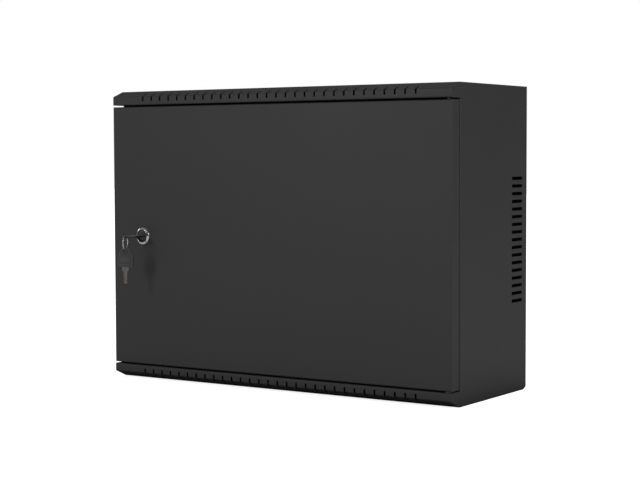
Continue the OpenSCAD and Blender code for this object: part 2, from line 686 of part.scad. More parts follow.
// frames with z along the stud, from the outer face of the sheet inwards
module on_door_stud() translate([earth_door_x, 0, earth_door_z]) rotate([-90, 0, 0]) children();
module on_body_stud() translate([earth_body_x, earth_body_d, 0]) children();

module earth_nut() translate([0, 0, earth_nut_z])
    flanged_nut(flange_r = 6.6, flange_h = 1, hex_r = 5.8, hex_z = 0.8, hex_h = 4.4,
        hole_r = stud_hole_r);
module earth_stud_door() color(stud_metal) placed()
    on_door_stud() rod_z(0, 0, sheet, earth_stud_end, stud_r);
module earth_nut_door() color(bright_steel) placed() on_door_stud() earth_nut();
module earth_stud_body() color(stud_metal) placed()
    on_body_stud() rod_z(0, 0, 0.1, earth_stud_end, stud_r);
module earth_nut_body() color(bright_steel) placed() on_body_stud() earth_nut();

// ring terminal with a tongue and a barrel towards -x
module terminal(barrel_z) difference() {
    union() {
        rod_z(0, 0, sheet + 0.2, sheet + 1.4, 6);
        block([-15, -2.4, sheet + 0.2], [0, 2.4, sheet + 1.4]);
        rod_x(-18.5, -11, 0, barrel_z, 1.85);
    }
    rod_z(0, 0, sheet - 1, sheet + 4, 3.1);
}
// point at fraction s of a cubic Bezier curve
function bezier(ctrl, s) = ctrl[0] * pow(1 - s, 3) + ctrl[1] * 3 * s * pow(1 - s, 2)
    + ctrl[2] * 3 * s * s * (1 - s) + ctrl[3] * pow(s, 3);
// control points from the door stud to the floor stud
wire_curve = [[earth_door_x - wire_inset, wire_lift, earth_door_z], [182, sheet + 8, 52],
    [184, 40, 34], [earth_body_x - wire_inset, earth_body_d, wire_lift]];
// bonding wire with a ring terminal at each end
module earth_cable() color([0.35, 0.55, 0.15]) placed() {
    tube_through([for (i = [0:wire_steps]) bezier(wire_curve, i / wire_steps)],
        wire_r, sides = 8);
    on_door_stud() terminal(sheet + 1.9);
    on_body_stud() terminal(sheet + 1.95);
}

side_panel_right();
side_panel_left();
top_panel();
base_panel();
back_panel();
door_panel();
door_stiffener();
door_bumpers();
hinge_pin_base();
hinge_washer_base();
hinge_pin_top();
hinge_bracket_top();
hinge_spring();
lock_body();
lock_nut();
lock_plug();
lock_cam();
lock_cam_screw();
key_blade();
key_head();
split_ring();
spare_key_blade();
spare_key_head();
rack_rail_right();
rack_rail_left();
depth_bars();
weld_studs();
bar_nuts();
rail_bolts_right();
rail_nuts_right();
rail_bolts_left();
rail_nuts_left();
cage_nut_clips_right();
cage_nut_squares_right();
cage_nut_clips_left();
cage_nut_squares_left();
entry_cover_top();
entry_cover_base();
entry_screws();
earth_stud_door();
earth_nut_door();
earth_stud_body();
earth_nut_body();
earth_cable();
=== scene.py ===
"""A small sheet-steel cabinet with rack rails inside and a key-locked, spring-hinged front door.

It stands on z = 0 with x across its width. The outer face of the door is at y = -DEPTH,
the back is at y = 0. Shapes are worked out in millimetres and scaled by MM when meshed.
"""
import bpy, bmesh, math
from mathutils import Vector, Matrix


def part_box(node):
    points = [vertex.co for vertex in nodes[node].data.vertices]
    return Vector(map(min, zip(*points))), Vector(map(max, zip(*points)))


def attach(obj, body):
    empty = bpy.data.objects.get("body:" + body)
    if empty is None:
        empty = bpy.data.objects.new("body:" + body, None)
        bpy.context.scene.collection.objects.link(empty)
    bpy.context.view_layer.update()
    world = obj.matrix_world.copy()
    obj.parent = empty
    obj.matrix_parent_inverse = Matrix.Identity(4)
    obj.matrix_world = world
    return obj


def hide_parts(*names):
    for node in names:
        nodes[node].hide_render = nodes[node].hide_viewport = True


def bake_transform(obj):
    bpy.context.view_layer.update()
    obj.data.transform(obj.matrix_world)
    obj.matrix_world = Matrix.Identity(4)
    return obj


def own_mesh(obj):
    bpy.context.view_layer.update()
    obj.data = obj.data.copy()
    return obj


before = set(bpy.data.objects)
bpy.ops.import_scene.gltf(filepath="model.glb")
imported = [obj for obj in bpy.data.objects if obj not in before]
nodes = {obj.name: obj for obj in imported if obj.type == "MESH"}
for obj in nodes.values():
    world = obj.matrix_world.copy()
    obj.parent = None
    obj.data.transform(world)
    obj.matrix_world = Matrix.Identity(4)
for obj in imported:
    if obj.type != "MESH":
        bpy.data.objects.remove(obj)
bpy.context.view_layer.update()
scene = bpy.context.scene

MM = 0.001
DEPTH = 206.0        # cabinet, front to back
HALF_WIDTH = 270.0   # cabinet, centre to side
SHEET = 1.2          # thickness of the door and base sheet


# ------------------------------------------------------------------ shader helpers
def rgb(r, g, b, times=1.0):
    return (r * times, g * times, b * times, 1.0)


def grey(level):
    return (level, level, level, 1.0)


class Shader:
    """Short calls that add nodes to a tree. Inputs can be sockets or plain values."""

    def __init__(self, tree, coordinate):
        self.tree = tree
        tree.nodes.clear()
        self.coord = self.node("TexCoord").outputs[coordinate]

    def node(self, kind):
        return self.tree.nodes.new("ShaderNode" + kind)

    def put(self, socket, value):
        if isinstance(value, bpy.types.NodeSocket):
            self.tree.links.new(value, socket)
        else:
            socket.default_value = value

    def math(self, operation, *values):
        node = self.node("Math")
        node.operation = operation
        for socket, value in zip(node.inputs, values):
            self.put(socket, value)
        return node.outputs[0]

    def times(self, value, by):
        return self.math("MULTIPLY", value, by)

    def plus(self, value, other):
        return self.math("ADD", value, other)

    def dot(self, a, b):
        node = self.node("VectorMath")
        node.operation = "DOT_PRODUCT"
        self.put(node.inputs[0], a)
        self.put(node.inputs[1], b)
        return node.outputs["Value"]

    def xyz(self, vector):
        """The x, y and z sockets of a vector."""
        node = self.node("SeparateXYZ")
        self.put(node.inputs[0], vector)
        return node.outputs

    def remap(self, value, span=(0.3, 0.7), to=(0.0, 1.0), smooth=False):
        """Span stretched over to, and clamped. The default span holds most values of a noise."""
        node = self.node("MapRange")
        if smooth:
            node.interpolation_type = "SMOOTHSTEP"
        self.put(node.inputs[0], value)
        for i, limit in enumerate((*span, *to)):
            node.inputs[1 + i].default_value = limit
        return node.outputs[0]

    def mix_values(self, factor, a, b):
        node = self.node("Mix")
        for index, value in ((0, factor), (2, a), (3, b)):
            self.put(node.inputs[index], value)
        return node.outputs[0]

    def mix(self, factor, a, b, amount=None):
        """Colour a turning into b; amount scales the factor."""
        if amount is not None:
            factor = self.times(factor, amount)
        node = self.node("Mix")
        node.data_type = "RGBA"
        for index, value in ((0, factor), (6, a), (7, b)):
            self.put(node.inputs[index], value)
        return node.outputs[2]


class Material(Shader):
    """A Principled material textured in object coordinates (metres)."""

    def __init__(self, name):
        self.material = bpy.data.materials.new(name)
        self.material.use_nodes = True
        super().__init__(self.material.node_tree, "Object")
        self.surface = self.node("BsdfPrincipled")
        self.put(self.node("OutputMaterial").inputs["Surface"], self.surface.outputs[0])

    def set(self, **inputs):
        for name, value in inputs.items():
            self.put(self.surface.inputs[name.replace("_", " ")], value)
        return self.material

    def stretched(self, x, y, z):
        node = self.node("Mapping")
        self.put(node.inputs["Vector"], self.coord)
        node.inputs["Scale"].default_value = (x, y, z)
        return node.outputs[0]

    def noise(self, scale, detail=2.0, rough=0.5, vector=None, distortion=0.0):
        node = self.node("TexNoise")
        self.put(node.inputs["Vector"], vector or self.coord)
        node.inputs["Scale"].default_value = scale
        node.inputs["Detail"].default_value = detail
        node.inputs["Roughness"].default_value = rough
        node.inputs["Distortion"].default_value = distortion
        return node.outputs[0]

    def voronoi(self, scale, output):
        node = self.node("TexVoronoi")
        self.put(node.inputs["Vector"], self.coord)
        node.inputs["Scale"].default_value = scale
        return node.outputs[output]

    def attribute(self, name):
        node = self.node("Attribute")
        node.attribute_name = name
        return node.outputs["Fac"]

    def bump(self, height, strength, distance, normal=None):
        node = self.node("Bump")
        self.put(node.inputs["Height"], height)
        node.inputs["Strength"].default_value = strength
        node.inputs["Distance"].default_value = distance
        if normal is not None:
            self.put(node.inputs["Normal"], normal)
        return node.outputs[0]

    def normal(self):
        return self.node("NewGeometry").outputs["Normal"]

    def edges(self, radius):
        """1 along convex and concave edges, 0 on flats."""
        bevel = self.node("Bevel")
        bevel.samples = 6
        bevel.inputs["Radius"].default_value = radius
        turn = self.math("SUBTRACT", 1.0, self.dot(bevel.outputs[0], self.normal()))
        return self.remap(turn, span=(0.004, 0.10))

    def up(self, span=(0.6, 0.98)):
        """1 on faces that look up, 0 on upright ones."""
        return self.remap(self.xyz(self.normal())[2], span=span)


# ------------------------------------------------------------------ materials
COAT_LEVEL = 0.0235               # grey level of the powder coat
COPPER_TONE = (0.62, 0.36, 0.22)


def powder_coat(name, seed):
    """Dark grey powder coat: fine grain, edges lightened partly by wear and partly as a painted
    highlight, and dust. The seed shifts the pattern.
    """
    mat = Material(name)
    shift = mat.node("VectorMath")
    shift.operation = "ADD"
    mat.put(shift.inputs[0], mat.coord)
    shift.inputs[1].default_value = (seed, seed * 0.7, seed * 1.3)
    mat.coord = shift.outputs[0]
    level = COAT_LEVEL
    cloud = mat.noise(scale=7.0, detail=3.0, rough=0.55)
    grain = mat.noise(scale=1500.0, rough=0.6)
    speck = mat.voronoi(scale=900.0, output="Distance")
    base = mat.mix(mat.remap(cloud), grey(level * 0.93), rgb(1.07, 1.07, 1.08, times=level))
    base = mat.mix(mat.remap(grain, span=(0.35, 0.75), to=(0.0, 0.5)), base, grey(level * 1.35))
    patches = mat.noise(scale=160.0, detail=3.0, rough=0.6)
    lighter_edges = mat.times(mat.edges(radius=0.0011),
                     by=mat.remap(patches, span=(0.35, 0.7), to=(0.35, 1.0)))
    # lighter grey along the edges in patches: partly wear, partly a painted highlight
    base = mat.mix(lighter_edges, base, grey(level * 2.4), amount=0.35)
    dust = mat.noise(scale=45.0, detail=5.0, rough=0.7)
    base = mat.mix(mat.up(), base, rgb(0.11, 0.108, 0.104),
                   amount=mat.remap(dust, span=(0.4, 0.75), to=(0.0, 0.16)))
    rough = mat.plus(mat.remap(cloud, to=(0.50, 0.57)), mat.times(lighter_edges, by=-0.10))
    waves = mat.bump(mat.noise(scale=22.0, detail=1.0, rough=0.4), strength=0.25, distance=0.0006)
    texture = mat.plus(mat.times(grain, by=0.7), mat.times(speck, by=0.5))
    return mat.set(Base_Color=base, Roughness=rough, Specular_IOR_Level=0.42,
                   Normal=mat.bump(texture, strength=0.32, distance=0.00012, normal=waves))


def zinc_sheet(name, tone, stretch):
    """Galvanised sheet: crystal cells, and brush streaks drawn out by the stretch scale."""
    mat = Material(name)
    cell = mat.node("SeparateColor")
    mat.put(cell.inputs[0], mat.voronoi(scale=130.0, output="Color"))
    streak = mat.noise(scale=60.0, detail=4.0, rough=0.7, vector=mat.stretched(*stretch))
    stain = mat.noise(scale=16.0, detail=4.0, rough=0.6)
    base = mat.mix(mat.remap(cell.outputs[0], span=(0, 1)),
                   rgb(0.90, 0.915, 0.93, times=tone), rgb(1.05, 1.06, 1.07, times=tone))
    base = mat.mix(mat.remap(streak, span=(0.45, 0.8), to=(0.0, 0.30)), base,
                   rgb(0.72, 0.73, 0.75, times=tone))
    base = mat.mix(mat.remap(stain, span=(0.55, 0.8), to=(0.0, 0.35)), base,
                   rgb(0.50, 0.49, 0.44))
    base = mat.mix(mat.edges(radius=0.0007), base, rgb(0.82, 0.83, 0.84), amount=0.4)
    rough = mat.plus(mat.remap(streak, span=(0.2, 0.8), to=(0.28, 0.44)),
                     mat.remap(cell.outputs[1], span=(0, 1), to=(-0.04, 0.06)))
    brushed = mat.bump(streak, strength=0.10, distance=0.00005)
    normal = mat.bump(mat.noise(scale=1800.0), strength=0.08, distance=0.00004, normal=brushed)
    return mat.set(Base_Color=base, Metallic=1.0, Roughness=rough, Normal=normal)


def plated(name, tone, rough):
    """Small plated steel parts: soft mottling, dark specks and bright edges."""
    mat = Material(name)
    mottle = mat.noise(scale=420.0, detail=4.0, rough=0.65)
    fine = mat.noise(scale=2400.0, rough=0.6)
    base = mat.mix(mat.remap(mottle), rgb(*tone, times=0.84), rgb(*tone))
    base = mat.mix(mat.remap(fine, span=(0.6, 0.85), to=(0.0, 0.3)), base, rgb(0.30, 0.30, 0.31))
    base = mat.mix(mat.edges(radius=0.0004), base, rgb(0.88, 0.88, 0.89), amount=0.5)
    return mat.set(Base_Color=base, Metallic=1.0,
                   Roughness=mat.remap(mottle, to=(rough, rough + 0.14)),
                   Normal=mat.bump(fine, strength=0.12, distance=0.00004))


def chrome(name):
    """Scratched, smeared chrome, its colour darkened by a per-vertex attribute: painted shade
    inside the rim and on the barrel behind the flange.
    """
    mat = Material(name)
    scratch = mat.noise(scale=500.0, detail=6.0, rough=0.75, vector=mat.stretched(1, 1, 7),
                        distortion=1.2)
    smear = mat.noise(scale=90.0, detail=3.0, rough=0.6)
    base = mat.mix(mat.remap(smear, span=(0.35, 0.7)),
                   rgb(0.60, 0.605, 0.62), rgb(0.70, 0.705, 0.71))
    # near-black colour inside the lock's rim and darker chrome behind the flange: painted shade
    painted_shade = mat.plus(mat.attribute("recess"), mat.remap(smear, to=(-0.1, 0.1)))
    base = mat.mix(mat.remap(painted_shade, to=(0.0, 0.93)), base, rgb(0.030, 0.030, 0.031))
    rough = mat.plus(mat.remap(scratch, span=(0.45, 0.8), to=(0.07, 0.20)),
                     mat.remap(smear, span=(0.4, 0.7), to=(0.0, 0.06)))
    return mat.set(Base_Color=base, Metallic=1.0, Roughness=rough,
                   Normal=mat.bump(scratch, strength=0.04, distance=0.00003))


def die_cast(name):
    """Dark porous casting with bare metal on its worn edges."""
    mat = Material(name)
    pores = mat.noise(scale=1300.0, detail=4.0, rough=0.7)
    lighter_edges = mat.times(mat.edges(radius=0.0005),
                     by=mat.remap(mat.noise(scale=300.0, detail=3.0), to=(0.3, 1.0)))
    base = mat.mix(mat.remap(pores), rgb(0.05, 0.05, 0.052), rgb(0.10, 0.10, 0.102))
    base = mat.mix(lighter_edges, base, rgb(0.55, 0.54, 0.52))
    return mat.set(Base_Color=base, Metallic=0.9, Roughness=mat.remap(pores, to=(0.34, 0.5)),
                   Normal=mat.bump(pores, strength=0.2, distance=0.00005))


def key_metal(name):
    """Worn nickel-plated brass: yellow shows on edges, with long fine scratches."""
    mat = Material(name)
    lines = mat.noise(scale=900.0, detail=5.0, rough=0.75, vector=mat.stretched(1, 1, 0.12),
                      distortion=0.3)
    blot = mat.noise(scale=260.0, detail=4.0, rough=0.6)
    base = mat.mix(mat.remap(blot), rgb(0.16, 0.142, 0.124), rgb(0.24, 0.214, 0.186))
    base = mat.mix(mat.remap(lines, span=(0.5, 0.8), to=(0.0, 0.6)), base,
                   rgb(0.34, 0.305, 0.265))
    base = mat.mix(mat.edges(radius=0.0004), base, rgb(0.42, 0.37, 0.29), amount=0.7)
    return mat.set(Base_Color=base, Metallic=1.0,
                   Roughness=mat.remap(lines, span=(0.3, 0.8), to=(0.30, 0.46)),
                   Normal=mat.bump(lines, strength=0.15, distance=0.00004))


def moulded(name, level, rough, grain_scale=2600.0, grain=0.22, shine=0.45, top_highlight=None):
    """Moulded plastic or rubber: fine grain, and smoother edges painted a lighter grey as a
    highlight.

    top_highlight is a lighter grey painted on faces that look up: a painted highlight.
    """
    mat = Material(name)
    texture = mat.noise(scale=grain_scale, detail=3.0, rough=0.65)
    cloud = mat.noise(scale=190.0, detail=3.0)
    edge = mat.edges(radius=0.0009)
    base = mat.mix(mat.remap(cloud), grey(level * 0.85), grey(level * 1.15))
    base = mat.mix(mat.remap(texture, span=(0.5, 0.8), to=(0.0, 0.5)), base, grey(level * 1.9))
    # lighter grey on the edges: a painted highlight
    base = mat.mix(edge, base, grey(level * 4.0), amount=0.45)
    # faces that look up painted a lighter grey in patches: a painted highlight
    if top_highlight:
        patches = mat.noise(scale=500.0, detail=3.0)
        base = mat.mix(mat.up(span=(0.5, 0.9)), base, grey(top_highlight),
                       amount=mat.remap(patches, span=(0.35, 0.65), to=(0.5, 1.0)))
    roughness = mat.plus(mat.remap(texture, to=(rough - 0.05, rough + 0.06)),
                         mat.times(edge, by=-0.10))
    return mat.set(Base_Color=base, Roughness=roughness, Specular_IOR_Level=shine,
                   Normal=mat.bump(texture, strength=grain, distance=0.00006))


def black_zinc(name):
    """Black passivated steel: near-black with a faint brown cast, brighter on edges."""
    mat = Material(name)
    mottle = mat.noise(scale=600.0, detail=4.0, rough=0.65)
    base = mat.mix(mat.remap(mottle), rgb(0.020, 0.020, 0.021), rgb(0.040, 0.038, 0.036))
    base = mat.mix(mat.edges(radius=0.0005), base, rgb(0.16, 0.155, 0.15), amount=0.5)
    return mat.set(Base_Color=base, Metallic=0.6, Roughness=mat.remap(mottle, to=(0.36, 0.5)),
                   Normal=mat.bump(mottle, strength=0.15, distance=0.00005))


def tinned(name):
    """Tin-plated copper: soft smeared grey, with copper showing at cut edges."""
    mat = Material(name)
    mottle = mat.noise(scale=500.0, detail=4.0, rough=0.6)
    smear = mat.noise(scale=90.0, detail=3.0, rough=0.6)
    base = mat.mix(mat.remap(mottle), rgb(0.46, 0.465, 0.47), rgb(0.62, 0.62, 0.61))
    base = mat.mix(mat.edges(radius=0.0003), base, rgb(0.60, 0.38, 0.24), amount=0.5)
    return mat.set(Base_Color=base, Metallic=1.0, Roughness=mat.remap(smear, to=(0.30, 0.46)),
                   Normal=mat.bump(mottle, strength=0.15, distance=0.00005))


def striped_sleeve(name):
    """Green wire insulation, yellow where the stripe attribute is high."""
    mat = Material(name)
    stripe = mat.remap(mat.attribute("stripe"), span=(0.52, 0.60))
    mottle = mat.noise(scale=700.0, detail=3.0, rough=0.6)
    green = mat.mix(mat.remap(mottle), rgb(0.015, 0.16, 0.035), rgb(0.022, 0.20, 0.045))
    yellow = mat.mix(mat.remap(mottle), rgb(0.60, 0.52, 0.03), rgb(0.70, 0.61, 0.045))
    base = mat.mix(stripe, green, yellow)
    grime = mat.noise(scale=240.0, detail=4.0, rough=0.7)
    base = mat.mix(mat.remap(grime, span=(0.55, 0.8), to=(0.0, 0.25)), base,
                   rgb(0.10, 0.10, 0.09))
    return mat.set(Base_Color=base, Roughness=mat.remap(mottle, to=(0.36, 0.48)),
                   Normal=mat.bump(mottle, strength=0.12, distance=0.00005))


def threaded(name, axis, pitch):
    """Coppered stud whose thread is drawn as bumped rings along an axis, pitch in metres; the
    copper is darker in the grooves as painted shade.
    """
    mat = Material(name)
    along = mat.xyz(mat.coord)["XYZ".index(axis)]
    turn = mat.math("FRACT", mat.times(along, by=1.0 / pitch))
    wave = mat.math("ABSOLUTE", mat.math("SUBTRACT", turn, 0.5))
    mottle = mat.noise(scale=900.0, detail=3.0)
    # copper darker in the thread grooves: painted shade
    base = mat.mix(mat.remap(wave, span=(0.0, 0.5)),
                   rgb(*COPPER_TONE, times=0.55), rgb(*COPPER_TONE))
    return mat.set(Base_Color=base, Metallic=1.0, Roughness=mat.remap(mottle, to=(0.28, 0.42)),
                   Normal=mat.bump(wave, strength=1.0, distance=0.00035))


MATERIALS = {
    "coat_side": powder_coat("powder_coat_sides", seed=1.3),
    "coat_top": powder_coat("powder_coat_shell", seed=4.1),
    "coat_door": powder_coat("powder_coat_door", seed=7.7),
    "coat_inner": powder_coat("powder_coat_inner", seed=9.2),
    "zinc_rail": zinc_sheet("zinc_sheet_rails", tone=0.62, stretch=(1, 1, 0.03)),
    "zinc_bar": zinc_sheet("zinc_sheet_bars", tone=0.58, stretch=(1, 0.03, 1)),
    "zinc_part": plated("zinc_plated_parts", tone=(0.72, 0.73, 0.74), rough=0.26),
    "zinc_bolt": plated("zinc_plated_bolts", tone=(0.66, 0.67, 0.69), rough=0.30),
    "spring": plated("spring_steel", tone=(0.55, 0.56, 0.58), rough=0.22),
    "clip": plated("spring_steel_clip", tone=(0.50, 0.50, 0.52), rough=0.34),
    "chrome": chrome("lock_chrome"),
    "plug": die_cast("lock_plug_zinc"),
    "key": key_metal("key_nickel_worn"),
    "ring": plated("ring_nickel_wire", tone=(0.86, 0.86, 0.87), rough=0.16),
    "head": moulded("key_head_plastic", level=0.030, rough=0.42, shine=0.5, top_highlight=0.20),
    "nylon": moulded("washer_nylon", level=0.05, rough=0.42),
    "black_pin": black_zinc("hinge_pin_black_zinc"),
    "tin": tinned("lug_tinned_copper"),
    "sleeve": striped_sleeve("earth_wire_sleeve"),
    "rubber": moulded("bumper_rubber", level=0.016, rough=0.62, grain_scale=1500.0, grain=0.35,
                      shine=0.3),
    "copper_y": threaded("weld_stud_copper_y", axis="Y", pitch=0.001),
    "copper_z": threaded("weld_stud_copper_z", axis="Z", pitch=0.001),
    "copper_x": threaded("weld_stud_copper_x", axis="X", pitch=0.0008),
}

# ------------------------------------------------------------------ CAD surfaces
# material, width of the rounding on sharp edges (None leaves them sharp), CAD nodes
LOOKS = [
    ("coat_side", 0.25, "side_panel_right side_panel_left"),
    ("coat_top", 0.22, "top_panel base_panel"),
    ("coat_door", 0.25, "door_panel"),
    ("coat_inner", 0.25, "back_panel"),
    ("coat_inner", 0.2, "door_stiffener entry_cover_top entry_cover_base"),
    ("rubber", 0.2, "door_bumpers"),
    ("black_pin", 0.2, "hinge_pin_base"),
    ("black_pin", 0.3, "hinge_pin_top"),
    ("nylon", 0.3, "hinge_washer_base"),
    ("nylon", None, "earth_cable"),
    ("spring", None, "hinge_spring"),
    ("chrome", 0.15, "lock_body"),
    ("plug", 0.15, "lock_plug"),
    ("zinc_part", 0.2, "hinge_bracket_top"),
    ("zinc_part", 0.3, "lock_cam"),
    ("key", 0.16, "key_blade spare_key_blade"),
    ("head", None, "key_head spare_key_head"),
    ("ring", None, "split_ring"),
    ("zinc_rail", 0.18, "rack_rail_right rack_rail_left"),
    ("zinc_bar", 0.18, "depth_bars"),
    ("zinc_bolt", 0.2, "lock_cam_screw entry_screws"),
    ("zinc_bolt", 0.25, "bar_nuts"),
    ("zinc_bolt", 0.3, "lock_nut rail_nuts_right rail_nuts_left earth_nut_door earth_nut_body"),
    ("zinc_bolt", 0.3, "cage_nut_squares_right cage_nut_squares_left"),
    ("zinc_bolt", 0.4, "rail_bolts_right rail_bolts_left"),
    ("clip", 0.15, "cage_nut_clips_right cage_nut_clips_left"),
    ("copper_x", 0.3, "weld_studs"),
    ("copper_y", 0.3, "earth_stud_door"),
    ("copper_z", 0.3, "earth_stud_body"),
]


def soften(obj, width):
    """Join loose faces, round the sharp edges and keep the flats flat."""
    join = obj.modifiers.new("join", "WELD")
    join.merge_threshold = 1e-6
    bevel = obj.modifiers.new("soft_edges", "BEVEL")
    bevel.width = width * MM
    bevel.segments = 2
    bevel.limit_method = "ANGLE"
    bevel.angle_limit = math.radians(32.0)
    bevel.miter_outer = "MITER_ARC"
    bevel.use_clamp_overlap = True
    bevel.harden_normals = False
    normals = obj.modifiers.new("flat_normals", "WEIGHTED_NORMAL")
    normals.mode = "FACE_AREA_WITH_ANGLE"
    normals.weight = 60
    normals.keep_sharp = False


def dress_nodes():
    looks = {name: (material, width) for material, width, names in LOOKS
             for name in names.split()}
    for name, obj in nodes.items():
        material, width = looks[name]
        obj.data.materials.clear()
        obj.data.materials.append(MATERIALS[material])
        for polygon in obj.data.polygons:
            polygon.use_smooth = True
        if width is not None:
            soften(obj, width)


dress_nodes()


# ------------------------------------------------------------------ shape helpers
def rounded(corners, radii, steps=10):
    """Closed outline with each corner turned into an arc; a radius of 0 keeps the corner."""
    outline = []
    count = len(corners)
    for i, radius in enumerate(radii):
        corner = Vector(corners[i])
        if radius == 0:
            outline.append((corner.x, corner.y))
            continue
        arriving = (corner - Vector(corners[i - 1])).normalized()
        leaving = (Vector(corners[(i + 1) % count]) - corner).normalized()
        turn = math.atan2(arriving.x * leaving.y - arriving.y * leaving.x, arriving.dot(leaving))
        side = 1 if turn > 0 else -1
        start = corner - arriving * radius * math.tan(abs(turn) / 2)
        middle = start + Vector((-arriving.y, arriving.x)) * side * radius
        spoke = start - middle
        for k in range(steps + 1):
            cos, sin = math.cos(turn * k / steps), math.sin(turn * k / steps)
            outline.append((middle.x + (spoke[0] * cos - spoke[1] * sin),
                            middle.y + (spoke[0] * sin + spoke[1] * cos)))
    return outline


def circle(cx, cy, radius, count=48):
    angles = [2 * math.pi * i / count for i in range(count)]
    return [(cx + radius * math.cos(a), cy + radius * math.sin(a)) for a in angles]


def inset(outline, distance):
    """A convex counterclockwise outline moved inwards along the bisector at each point."""
    moved = []
    for i in range(len(outline)):
        point = Vector(outline[i])
        arriving = point - Vector(outline[i - 1])
        leaving = Vector(outline[(i + 1) % len(outline)]) - point
        normal_before = Vector((-arriving.y, arriving.x)).normalized()
        normal_after = Vector((-leaving.y, leaving.x)).normalized()
        normal = (normal_before + normal_after).normalized()
        point = point + normal * (distance / normal.dot(normal_after))
        moved.append((point.x, point.y))
    return moved


def plate(loops, z_range, bevel, place, steps=3):
    """Vertices and faces of a flat plate with rounded edges.

    The first loop is the outside, the others are holes; place moves a point to the cabinet.
    """
    bottom, top = z_range
    curve = bpy.data.curves.new("tmp_plate", "CURVE")
    curve.dimensions = "2D"
    curve.fill_mode = "BOTH"
    for loop in loops:
        spline = curve.splines.new("POLY")
        spline.points.add(len(loop) - 1)
        for point, (x, y) in zip(spline.points, loop):
            point.co = (x, y, 0, 1)
        spline.use_cyclic_u = True
    curve.extrude = (top - bottom) / 2 - bevel
    curve.bevel_depth = bevel
    curve.bevel_resolution = steps
    curve.offset = -bevel
    obj = bpy.data.objects.new("tmp_plate", curve)
    scene.collection.objects.link(obj)
    bpy.context.view_layer.update()
    evaluated = obj.evaluated_get(bpy.context.evaluated_depsgraph_get())
    mesh = bpy.data.meshes.new_from_object(evaluated)
    middle = (bottom + top) / 2
    vertices = [place(Vector((v.co.x, v.co.y, v.co.z + middle))) for v in mesh.vertices]
    faces = [tuple(polygon.vertices) for polygon in mesh.polygons]
    bpy.data.objects.remove(obj)
    bpy.data.curves.remove(curve)
    bpy.data.meshes.remove(mesh)
    return vertices, faces


def skin(rings, sides, closed=False):
    """Faces over rings of points: the last ring joins the first, or both ends are capped."""
    faces = []
    for i in range(rings if closed else rings - 1):
        here, there = i * sides, (i + 1) % rings * sides
        for j in range(sides):
            after = (j + 1) % sides
            faces.append((here + j, here + after, there + after, there + j))
    if not closed:
        faces.append(tuple(range(sides - 1, -1, -1)))
        faces.append(tuple((rings - 1) * sides + j for j in range(sides)))
    return faces


def tube(path, radius, sides):
    """Vertices and faces of a capped round tube along a path."""
    vertices = []
    across = None
    for i, centre_point in enumerate(path):
        ahead = (path[min(i + 1, len(path) - 1)] - path[max(i - 1, 0)]).normalized()
        if across is None:
            # any direction far from the start of the path will do
            across = Vector((0.31, 0.22, 0.92)).cross(ahead).normalized()
        across = (across - ahead * across.dot(ahead)).normalized()
        side = ahead.cross(across)
        for j in range(sides):
            angle = 2 * math.pi * j / sides
            vertices.append(centre_point + across * (radius * math.cos(angle))
                            + side * (radius * math.sin(angle)))
    return vertices, skin(len(path), sides)


def smooth_mesh(name, vertices, faces, material):
    """A smooth-shaded mesh in metres from vertices in millimetres."""
    mesh = bpy.data.meshes.new(name)
    mesh.from_pydata([tuple(c * MM for c in vertex) for vertex in vertices], [], faces)
    mesh.materials.append(MATERIALS[material])
    for polygon in mesh.polygons:
        polygon.use_smooth = True
    return mesh


def add_object(name, data):
    obj = bpy.data.objects.new(name, data)
    scene.collection.objects.link(obj)
    return obj


def add_values(mesh, name, values):
    """Store one number per vertex."""
    mesh.attributes.new(name, "FLOAT", "POINT").data.foreach_set("value", values)


def build(name, parts, material, smooth_angle=40.0):
    """One object from (vertices, faces) parts, sharp where faces meet above the angle."""
    vertices, faces = [], []
    for part_vertices, part_faces in parts:
        first = len(vertices)
        vertices += part_vertices
        faces += [tuple(i + first for i in face) for face in part_faces]
    mesh = smooth_mesh(name, vertices, faces, material)
    mesh.validate()
    bm = bmesh.new()
    bm.from_mesh(mesh)
    bmesh.ops.remove_doubles(bm, verts=bm.verts, dist=1e-7)
    bmesh.ops.recalc_face_normals(bm, faces=bm.faces)
    bm.to_mesh(mesh)
    bm.free()
    mesh.set_sharp_from_angle(angle=math.radians(smooth_angle))
    return add_object(name, mesh)


def box(node):
    """Low and high corners of a CAD node, in millimetres."""
    return [Vector(corner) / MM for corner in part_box(node)]


def centre(node):
    low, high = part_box(node)
    return (Vector(low) + Vector(high)) / 2 / MM


# ------------------------------------------------------------------ key heads
# local frame: x across the head, y = 0 at the ring end and falling to the blade end, z thickness
HEAD = rounded([(4.5, 0), (-4.5, 0), (-11, -9), (-11, -25.5), (11, -25.5), (11, -9)],
               [4, 4, 4, 2, 2, 4])
HEAD_HALF = 2.6 / 2        # half the thickness
HOLE_Y, HOLE_RADIUS = -5.5, 3.9
COLLAR_WIDTH = 1.45
RIM_WIDTH = 1.25
RIB_YS = (-13.6, -16.0, -18.4)
RIB_HALF_HEIGHT = 0.5


def bar(half_width, y_low, y_high, radius, steps):
    """Outline of a rounded rectangle centred on x = 0."""
    return rounded([(half_width, y_high), (-half_width, y_high),
                    (-half_width, y_low), (half_width, y_low)], [radius] * 4, steps)


